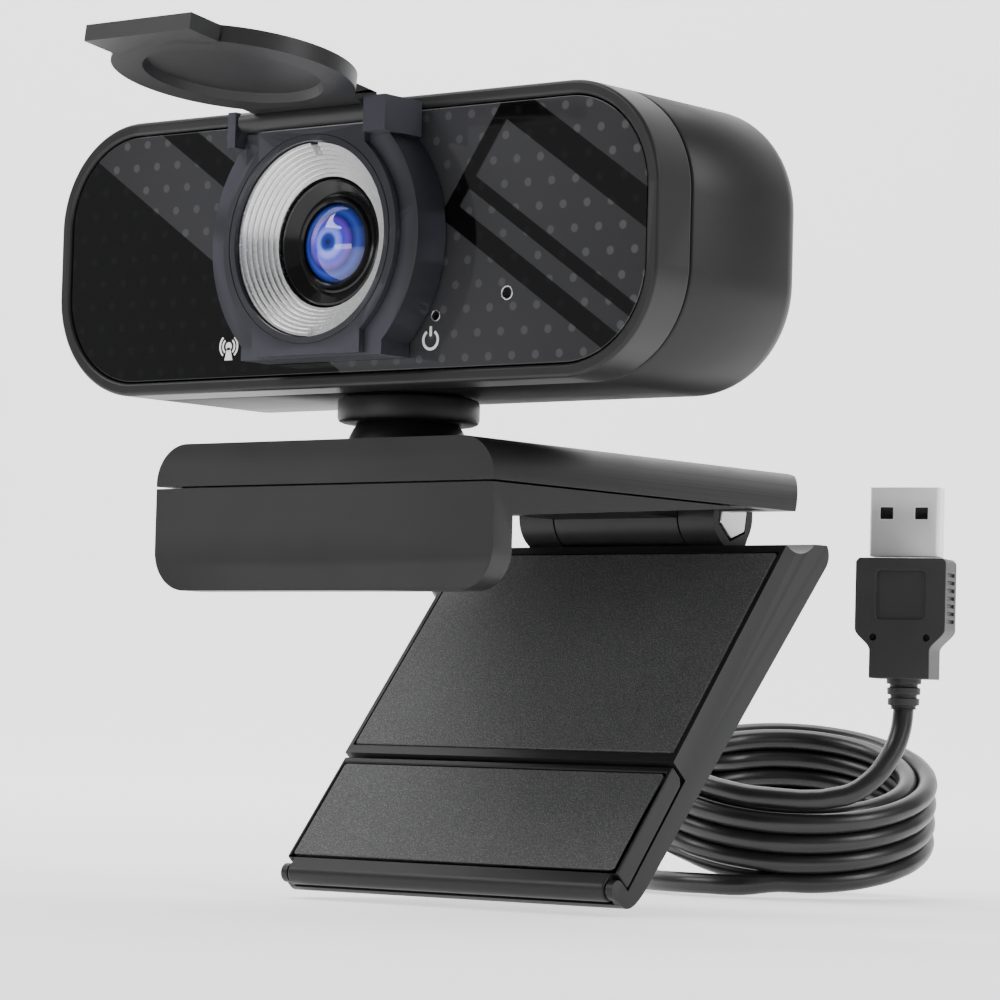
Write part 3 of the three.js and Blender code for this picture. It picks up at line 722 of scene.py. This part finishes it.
def make_lead_exit():
    """The boot where the lead leaves the arm's left side."""
    inner_end, side_wall, tip = 32.2, 33.6, 42.3
    profile = [(0, inner_end), (2.9, inner_end)] + ringed(2.9, 2.2, side_wall, tip, 6)[1:]
    mirrored = Matrix.Scale(-1, 4, Vector((1, 0, 0)))
    return make_relief("exit_boot", "strain_relief", profile, EXIT[1], EXIT[2], "x", mirrored)


def make_tie():
    """A soft band with rounded edges, closed round the turns and the strand that leaves over them."""
    space = coil_space() @ Matrix.Rotation(COIL["tie_angle"], 4, "Z")
    wide = 4 * CORD_RADIUS + 2 * GAP
    tall = 10 * CORD_RADIUS + 3 * GAP
    middle = CORD_RADIUS + GAP / 2
    centre = COIL["radius"]
    outer = prism(rounded_rect(wide + 1.4, tall + 1.4, 1.8, centre, middle, 8), -1.6, 1.6, "y", space)
    inner = prism(rounded_rect(wide, tall, 1.3, centre, middle, 8), -3, 3, "y", space)
    return piece(cut(outer, inner), "coil_band", "clip", ["coil_tie"], "plug", 0.3)


def make_cord():
    """The lead with what is on it."""
    lead = make_lead()
    on_it = make_plug()
    make_lead_exit()
    on_it.append(make_tie())
    row_point(EXIT)


# ---------------------------------------------------------------- head
def make_shells():
    """Bezel, front panel and rear shell of the head."""
    wide, tall, corner = HEAD["wide"], HEAD["tall"], HEAD["corner"]
    bezel = prism(rounded_rect(wide, tall, corner, steps=32), 0, HEAD["bezel"])
    cut(bezel, prism(rounded_rect(wide - 4, tall - 4, corner - 2, steps=32), -1, 50))
    piece(bezel, "bezel", "head", ["front_bezel"], "casing", edge=0.55)

    inset = PANEL["inset"]
    panel = prism(rounded_rect(wide - inset, tall - inset, corner - inset / 2, steps=32), PANEL["front"],
                  PANEL["back"])
    cut(panel, rod(LENS_HOLE, 0, 5, 0, 0, "y", sides=96))
    for hole in (LED_HOLE, MIC_HOLE):
        cut(panel, rod(hole["radius"], 0, 5, hole["x"], hole["z"], "y", sides=24))
    piece(panel, "panel", "head", ["front_panel"], "panel", edge=0.15)

    start = HEAD["bezel"] + GAP
    roll = HEAD["roll"]
    rings = [(start, 0.25), (start + 0.25, 0)]
    for i in range(15):
        angle = math.pi / 2 * i / 14
        rings.append((HEAD["deep"] - roll + roll * math.sin(angle), roll * (1 - math.cos(angle))))
    shell = loft([[(a, depth, b) for a, b in
                   rounded_rect(wide - 2 * inset, tall - 2 * inset, max(corner - inset, 1), steps=20)]
                  for depth, inset in rings])
    cut(shell, prism(rounded_rect(wide - 4, tall - 4, corner - 2), start - 1, HEAD["deep"] - roll))
    piece(shell, "back_shell", "head", ["rear_shell"], "casing", edge=0.12, limit=50)


def cover_room():
    """The groove in which the cover's rolled edge turns."""
    return rod(COVER_ROLL + 0.35, -13.8, 11.2, COVER_PIN.y, COVER_PIN.z, "x", sides=48)


def make_lens_frame():
    """The frame stuck round the lens, its ears for the cover's pin, and its raised face."""
    base = cut(prism(bowed(**OUTER_FRAME), FRAME_FRONT, 0), rod(LENS_HOLE, -9, 2, 0, 0, "y", sides=96))
    y, z = COVER_PIN.y, COVER_PIN.z
    join(base, box((11.3, y - 2.2, 14.7), (15.4, -0.8, z + 1.9)))
    join(base, box((-15.4, y - 1.6, 14.2), (-13.9, -0.8, z + 1.5)))
    cut(base, rod(COVER_BORE, -14.9, 14.9, y, z, "x", sides=24), cover_room())
    piece(base, "frame_body", "head", ["lens_frame"], "frame", edge=0.4)

    plate = cut(prism(bowed(**INNER_FRAME), PLATE_FRONT, FRAME_FRONT - 0.2), cover_room())
    cut(plate, rod(LENS_HOLE, -9, 2, 0, 0, "y", sides=96))
    groove_inner, groove_outer, groove_floor = 15.3, 15.5, PLATE_FRONT + 0.15
    groove = [(groove_inner, -8), (groove_outer, -8), (groove_outer, groove_floor),
              (groove_inner, groove_floor)]
    cut(plate, turned(groove, 0, 0, "y"))
    piece(plate, "frame_face", "head", ["lens_frame_plate"], "frame", edge=0.18)


def make_lens():
    """The bright stepped ring, the black barrel inside it, and the domed glass."""
    steps = 8
    rim, throat = (14.2, -6.7), (9.5, -2.4)
    profile = [(14.2, -1.4)]
    for i in range(steps):
        near, far = i / steps, (i + 1) / steps
        depth = rim[1] + (throat[1] - rim[1]) * near
        outer = rim[0] + (throat[0] - rim[0]) * near
        inner = rim[0] + (throat[0] - rim[0]) * far
        profile += [(outer, depth), (inner + 0.2, depth + 0.03), (inner + 0.12, depth + 0.75)]
    profile.append((throat[0], -1.4))
    ring = turned(profile, 0, 0, "y", steps=128)
    for level in (-15, 12.6):
        cut(ring, box((-0.7, -8, level), (0.7, -5.2, level + 2.4)))
    piece(ring, "stepped_ring", "head", ["lens_ring"], "silver", edge=0.06, limit=50)

    funnel = [(9.3, -2.4), (9.0, -2.5), (7.3, -1.2), (7.0, -1.3), (6.6, -1.9), (6.3, -1.9), (6.0, -1.6),
              (6.0, 8), (7.5, 8), (7.5, 0), (9.3, 0)]
    piece(turned(funnel, 0, 0, "y"), "barrel", "head", ["lens_barrel"], "gloss", edge=0)

    radius, crown = LENS_RADIUS, 1.9
    sphere = (radius ** 2 + crown ** 2) / (2 * crown)
    dome = [(0, 1.2), (radius, 1.2)]
    for i in range(12, -1, -1):
        r = radius * i / 12
        dome.append((r, -1.2 - (math.sqrt(sphere ** 2 - r ** 2) - (sphere - crown))))
    piece(turned(dome, 0, 0, "y"), "lens_dome", "head", ["lens_glass"], "glass", edge=0)


def flat_mark(name, outline):
    """A thin printed mark on the front panel."""
    return piece(prism(outline, 0.34, 0.42), name, "head", [], "print", edge=0)


def arc_mark(name, centre, inner, outer, first, last):
    """A printed arc between two radii and two angles in degrees."""
    turns = [math.radians(first + (last - first) * i / 24) for i in range(25)]
    outline = [(centre[0] + outer * math.cos(t), centre[1] + outer * math.sin(t)) for t in turns]
    outline += [(centre[0] + inner * math.cos(t), centre[1] + inner * math.sin(t)) for t in reversed(turns)]
    return flat_mark(name, outline)


def make_marks():
    """Plain pictograms: a power sign by the light, and waves by the microphone side."""
    power = (17.2, -14.8)
    arc_mark("power_ring", power, 1.15, 1.55, 122, 418)
    flat_mark("power_bar", rounded_rect(0.42, 1.5, 0.2, power[0], power[1] + 1.25, 4))
    wave = (-22.0, -14.2)
    for name, side in (("left", 180), ("right", 0)):
        for i, radius in enumerate((1.0, 1.6)):
            arc_mark(f"wave_{name}_{i + 1}", wave, radius, radius + 0.3, side - 50, side + 50)
    flat_mark("wave_head", circle(0.62, *wave, 32))
    flat_mark("wave_foot", [(-22.3, -14.4), (-21.7, -14.4), (-21.2, -16.3), (-22.8, -16.3)])
    for name, hole in (("light_rim", LED_HOLE), ("microphone_rim", MIC_HOLE)):
        inner, outer = hole["radius"] - 0.05, hole["radius"] + 0.15
        rim = [(inner, 0.55), (inner, 0.33), (outer, 0.33), (outer, 0.55)]
        piece(turned(rim, hole["x"], hole["z"], "y", steps=40), name, "head", [], "silver", edge=0.04)


def make_neck():
    """The disc that holds the ball from above, and the ball on its foot."""
    ball = NECK["ball"]
    socket = ball + GAP
    disc = [(NECK["disc"] - 0.8, NECK["top"]), (NECK["disc"] - 0.23, NECK["top"] - 0.23),
            (NECK["disc"], NECK["top"] - 0.8), (NECK["disc"], NECK["bottom"] + 0.8),
            (NECK["disc"] - 0.23, NECK["bottom"] + 0.23), (NECK["disc"] - 0.8, NECK["bottom"])]
    for i in range(5):
        z = NECK["bottom"] + (NECK["top"] - NECK["bottom"]) * i / 4
        disc.append((math.sqrt(socket ** 2 - (z - NECK["z"]) ** 2), z))
    piece(turned(disc, 0, NECK["y"], "z"), "neck_disc", "head", ["swivel_disc"], "casing", edge=0.1)

    profile = [(0, -33.4), (11.4, -33.4), (11.4, -31.6), (ball, -31.6)]
    for i in range(13):
        angle = math.pi / 2 * i / 12
        profile.append((ball * math.cos(angle), NECK["z"] + ball * math.sin(angle)))
    piece(turned(profile, 0, NECK["y"], "z"), "ball", "swivel", ["neck_ball"], "casing", edge=0.1, limit=60)


# ---------------------------------------------------------------- privacy cover
def make_cover():
    """Drawn shut in front of the lens, then opened about its pin."""
    y, z = COVER_PIN.y, COVER_PIN.z
    opened = (Matrix.Translation(COVER_PIN) @ Matrix.Rotation(COVER_OPEN, 4, "X")
              @ Matrix.Translation(-COVER_PIN))
    front = y - 3.2
    thick = 2.4
    plate = prism(circle(17.6, sides=128), front, front + thick, "y", opened)
    tab = [(-10, -12), (-10, -20.5), (10, -20.5), (10, -12)]
    neck = [(-10.6, 12), (10.6, 12), (10.6, z + 1.2), (-10.6, z + 1.2)]
    for outline in (tab, neck):
        join(plate, prism(outline, front, front + thick, "y", opened))
    dish = [(0, front + 1.1), (12.5, front + 1.1), (13.5, front + thick + 1), (0, front + thick + 1)]
    cut(plate, turned(dish, 0, 0, "y", opened))
    join(plate, rod(COVER_ROLL, -13.5, 10.9, y, z, "x", opened, 40))
    join(plate, box((-10.6, front, z - 0.4), (10.6, y, z + 1.2), opened))
    cut(plate, rod(COVER_BORE, -14, 12, y, z, "x", opened, 24))
    piece(plate, "cover", "cover", ["privacy_cover"], "cover", edge=0.3)


# ---------------------------------------------------------------- clip
def clip_block(bottom, top):
    """The stretch of the clip's rounded front outline between two heights, run back to the hinge."""
    tall = CLIP["top"] - CLIP["hook_bottom"]
    middle = (CLIP["top"] + CLIP["hook_bottom"]) / 2
    whole = prism(rounded_rect(2 * CLIP["half_wide"], tall, CLIP["corner"], 0, middle), CLIP["front"],
                  CLIP["rear"])
    return keep(whole, box((-40, CLIP["front"] - 1, bottom), (40, CLIP["rear"] + 1, top)))


def make_clip():
    """The arm's hollow top cover, its lower shell with the hook plate, and the hook's pad."""
    y, z, end = BARREL["y"], BARREL["z"], BARREL["end"] + 0.8
    top = clip_block(CLIP["seam"], CLIP["top"] + 1)
    cut(top, box((-29.5, CLIP["front"] + 2, CLIP["seam"] - 1), (29.5, 69.5, CLIP["top"] - 2)))
    cut(top, rod(REAR_SCOOP["radius"], -40, 40, REAR_SCOOP["y"], REAR_SCOOP["z"], "x", sides=96))
    cut(top, rod(BARREL["radius"] + 0.9, -end, end, y, z, "x"), box((-end, 60, -36.5), (end, 80, -31.6)))
    cut(top, rod(NECK["ball"] + 0.4, CLIP["top"] - 4, CLIP["top"] + 1, 0, NECK["y"], "z"))
    cut(top, rod(3.3, -40, -28, 60, -32.6, "x"))
    piece(top, "arm_cover", "clip", ["arm_top_cover"], "casing", edge=0.5)

    seam = CLIP["seam"] - GAP
    outline = [(CLIP["front"] - 1, seam), (CLIP["front"] - 1, -60), (CLIP["hook_back"], -60),
               (CLIP["hook_back"], CLIP["under_front"]), (CLIP["wedge_end"], seam)]
    lower = keep(clip_block(-60, seam), prism(outline, -CLIP["half_wide"] - 1, CLIP["half_wide"] + 1, "x"))
    middle = BARREL["middle"]
    join(lower, box((-middle, 44, -36.4), (middle, y, -33)))
    join(lower, rod(BARREL["radius"], -middle, middle, y, z, "x"))
    cut(lower, rod(BARREL["bore"], -20, 20, y, z, "x", sides=32))
    lip = box((-29.2, CLIP["front"] + 2.3, seam - 1), (29.2, 40, seam + 1.5))
    cut(lip, box((-27.9, CLIP["front"] + 3.6, seam - 2), (27.9, 41, seam + 2)))
    join(lower, lip)
    for x in (-CLIP["screw_x"], CLIP["screw_x"]):
        cut(lower, rod(1.4, -42, -30, x, CLIP["screw_y"], "z", sides=24))
        cut(lower, rod(2.6, -42, -38, x, CLIP["screw_y"], "z", sides=32))
    piece(lower, "arm_base", "clip", ["arm_lower_shell"], "casing", edge=0.4)

    pad = prism(rounded_rect(54, 7.4, 1.6, 0, -46.4), CLIP["hook_back"] + GAP, CLIP["hook_back"] + 1.5)
    piece(pad, "hook_rubber", "clip", ["hook_pad"], "pad", edge=0.25)


# ---------------------------------------------------------------- leg and foot
def leg_space():
    """Maps (x, v, u) to the design: v points out of the leg's front face and u down its length."""
    c, s = math.cos(LEG_ANGLE), math.sin(LEG_ANGLE)
    turn = Matrix(((1, 0, 0), (0, -s, -c), (0, c, -s)))
    return Matrix.Translation(LEG_TOP) @ turn.to_4x4()


def rounding(start, corner, end, steps=10):
    """Points of a curve that leaves one point and arrives at another, bent towards a corner."""
    points = []
    for i in range(steps + 1):
        t = i / steps
        points.append(tuple((1 - t) ** 2 * a + 2 * t * (1 - t) * b + t ** 2 * c
                            for a, b, c in zip(start, corner, end)))
    return points


def foot_lug():
    """Outline of the ear that holds one end of the foot's pin: a block with a round nose."""
    v, u, radius = FOOT_PIN["v"], FOOT_PIN["u"], FOOT_PIN["lug"]
    first, last = math.radians(-90), math.pi - math.asin((LEG["long"] - u) / radius)
    outline = [(-4.4, u - radius)]
    for i in range(21):
        angle = first + (last - first) * i / 20
        outline.append((v + radius * math.cos(angle), u + radius * math.sin(angle)))
    return outline + [(-4.4, LEG["long"] - 0.05)]


def make_leg():
    """The leg with its two hinge knuckles, foot ears and rear pocket, its pad, and the nut."""
    space = leg_space()
    inverse = space.inverted()
    _, axis_v, axis_u = inverse @ Vector((0, BARREL["y"], BARREL["z"]))
    wide, upper, long = LEG["half_wide"], LEG["upper"], LEG["long"]
    low, top = -LEG["thick_low"], -LEG["thick_top"]
    ledge = LEG["ledge"]
    outline = [(0, 0), (0, upper), (ledge, upper)]
    outline += rounding((ledge, long), (low, long), (low, 62))
    outline += rounding((top, -4.4), (top, -6.6), (-8.4, -7.2))
    body = prism(outline, -wide, wide, "x", space)
    cut(body, box((-PAD["pocket_half"], -1.1, 2), (PAD["pocket_half"], 1, 43.6), space))
    cut(body, rod(BARREL["radius"] + 0.8, -40, 40, axis_v, axis_u, "x", space, 96))
    cut(body, box((-26, -12, 8), (26, -5.4, 56), space))
    for side in (-1, 1):
        inner, outer = sorted((side * FOOT_PIN["inner"], side * wide))
        join(body, prism(foot_lug(), inner, outer, "x", space))
        near, far = sorted((side * (BARREL["middle"] + GAP), side * BARREL["end"]))
        web = [(axis_v - 5.2, axis_u - 1), (axis_v + 1.5, axis_u), (-1.6, 1.2), (-2.5, 3), (-7, 3)]
        join(body, prism(web, near, far, "x", space))
        join(body, rod(BARREL["radius"], near, far, axis_v, axis_u, "x", space))
    end = BARREL["end"]
    cut(body, rod(NUT["pocket"], end - NUT["sunk"] - GAP, end + 1, axis_v, axis_u, "x", space, 6))
    cut(body, rod(BARREL["bore"], -20, 20, axis_v, axis_u, "x", space, 32))
    piece(body, "leg", "leg", ["leg_body"], "casing", edge=0.25)
    make_pad("leg_rubber", "leg", "leg_pad", 0.1, -0.8, 2.3, 43.3, space)

    nut = rod(NUT["radius"], end - NUT["sunk"], end + NUT["proud"], axis_v, axis_u, "x", space, 6)
    piece(nut, "nut", "leg", ["hinge_nut"], "steel", edge=0.25)


def make_pad(name, body, node, front, back, near, far, space):
    """A rubber sheet that lies in a shallow pocket of the leg or foot."""
    outline = rounded_rect(PAD["wide"], far - near, 0.5, 0, (near + far) / 2, 4)
    rings = [[(x, v, u) for x, u in outline] for v in (back, front)]
    piece(loft(rings, name, space), name, body, [node], "pad", edge=0.2)


def make_foot():
    """The flap with its round lower edge, notched at both ends for the leg's ears."""
    space = leg_space()
    front, back, upper, pin = -0.4, -3.9, LEG["upper"], FOOT_PIN["u"]
    radius = (front - back) / 2
    outline = [(front, upper + 0.5)]
    for i in range(25):
        angle = math.pi * i / 24
        outline.append(((front + back) / 2 + radius * math.cos(angle), pin + radius * math.sin(angle)))
    outline += [(back, upper + 1.4), (back + 0.9, upper + 0.5)]
    flap = prism(outline, -LEG["half_wide"], LEG["half_wide"], "x", space)
    cut(flap, box((-PAD["pocket_half"], front - 1, upper + 1.7), (PAD["pocket_half"], 1, 66.1), space))
    notch_top = pin - FOOT_PIN["lug"] - GAP
    for side in (-1, 1):
        inner, outer = sorted((side * (FOOT_PIN["inner"] - GAP), side * 33))
        cut(flap, box((inner, -5, notch_top), (outer, 1, 71), space))
    cut(flap, rod(FOOT_PIN["bore"], -33, 33, FOOT_PIN["v"], pin, "x", space, 24))
    piece(flap, "foot", "foot", ["foot_flap"], "casing", edge=0.35)
    make_pad("foot_rubber", "foot", "foot_pad", front + 0.1, front - 0.7, upper + 2, 65.8, space)


# ---------------------------------------------------------------- the rest of the CAD nodes
def finish_cad_nodes():
    """Gives every CAD node its material, by the slot that the record names for it."""
    for sub in frame["record"]["subparts"]:
        node = frame["nodes"][sub["node"]]
        node.data.materials.clear()
        node.data.materials.append(MATERIALS[sub["material_slot"]])


make_camera()
finish_cad_nodes()
make_cord()
make_floor()
make_lights()
make_shells()
make_lens_frame()
make_lens()
make_marks()
make_neck()
make_cover()
make_clip()
make_leg()
make_foot()


def write_sizes():
    """Works out the CAD model's box and the visual model's box, in metres."""
    boxes = [[[float(n) for n in corner] for corner in pair] for pair in (CAD_BOX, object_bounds())]


write_sizes()
